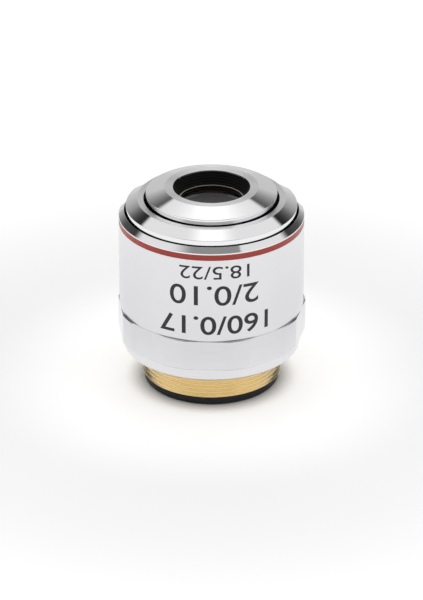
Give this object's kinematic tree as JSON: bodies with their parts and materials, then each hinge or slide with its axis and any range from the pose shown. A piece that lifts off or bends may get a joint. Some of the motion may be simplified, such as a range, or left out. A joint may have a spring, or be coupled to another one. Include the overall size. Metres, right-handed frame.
{
  "type": "microscope objective",
  "caption": "Squat chrome microscope objective with a spring-loaded nose, a flatted grip ring and a male mounting thread behind a flat shoulder.",
  "frame": {"origin": "on the optical axis, at the rear face that the objective stands on", "axes": "+Z along the optical axis, from the mounting thread towards the front lens"},
  "size_m": [0.0335, 0.0333, 0.0372],
  "materials": {
    "satin_chrome": "satin chrome plate",
    "polished_chrome": "polished chrome plate",
    "bare_brass": "turned, unplated",
    "blackened_brass": "blackened",
    "black_anodised": "black anodised",
    "red_enamel": "enamel",
    "spring_steel": "drawn",
    "coated_glass": "polished, coated",
    "crown_glass": "polished",
    "flint_glass": "polished"
  },
  "bodies": {
    "housing": {"rear_ring": "black_anodised", "threaded_mount": "bare_brass", "main_body": "satin_chrome", "grip_ring": "satin_chrome", "outer_sleeve": "satin_chrome", "colour_band": "red_enamel", "front_stop_ring": "polished_chrome", "return_spring": "spring_steel"},
    "nose": {"nose_cap": "polished_chrome", "front_cell": "black_anodised", "front_lens": "coated_glass", "front_lens_retainer": "black_anodised", "lens_barrel": "blackened_brass", "second_cell": "black_anodised", "second_upper_lens": "crown_glass", "second_lower_lens": "flint_glass", "front_spacer": "black_anodised", "third_cell": "black_anodised", "third_upper_lens": "crown_glass", "third_lower_lens": "flint_glass", "aperture_stop": "black_anodised", "fourth_cell": "black_anodised", "fourth_upper_lens": "flint_glass", "fourth_lower_lens": "crown_glass", "rear_cell": "black_anodised", "rear_lens": "coated_glass", "rear_lock_ring": "black_anodised", "guide_screw": "spring_steel"}
  },
  "joints": [
    {"name": "nose_retract", "type": "slide", "parent": "housing", "child": "nose", "axis": [0, 0, -1], "range_m": [0, 0.002], "stiffness_N_per_m": 900, "springref_m": -0.004, "deforming": ["return_spring"]}
  ]
}
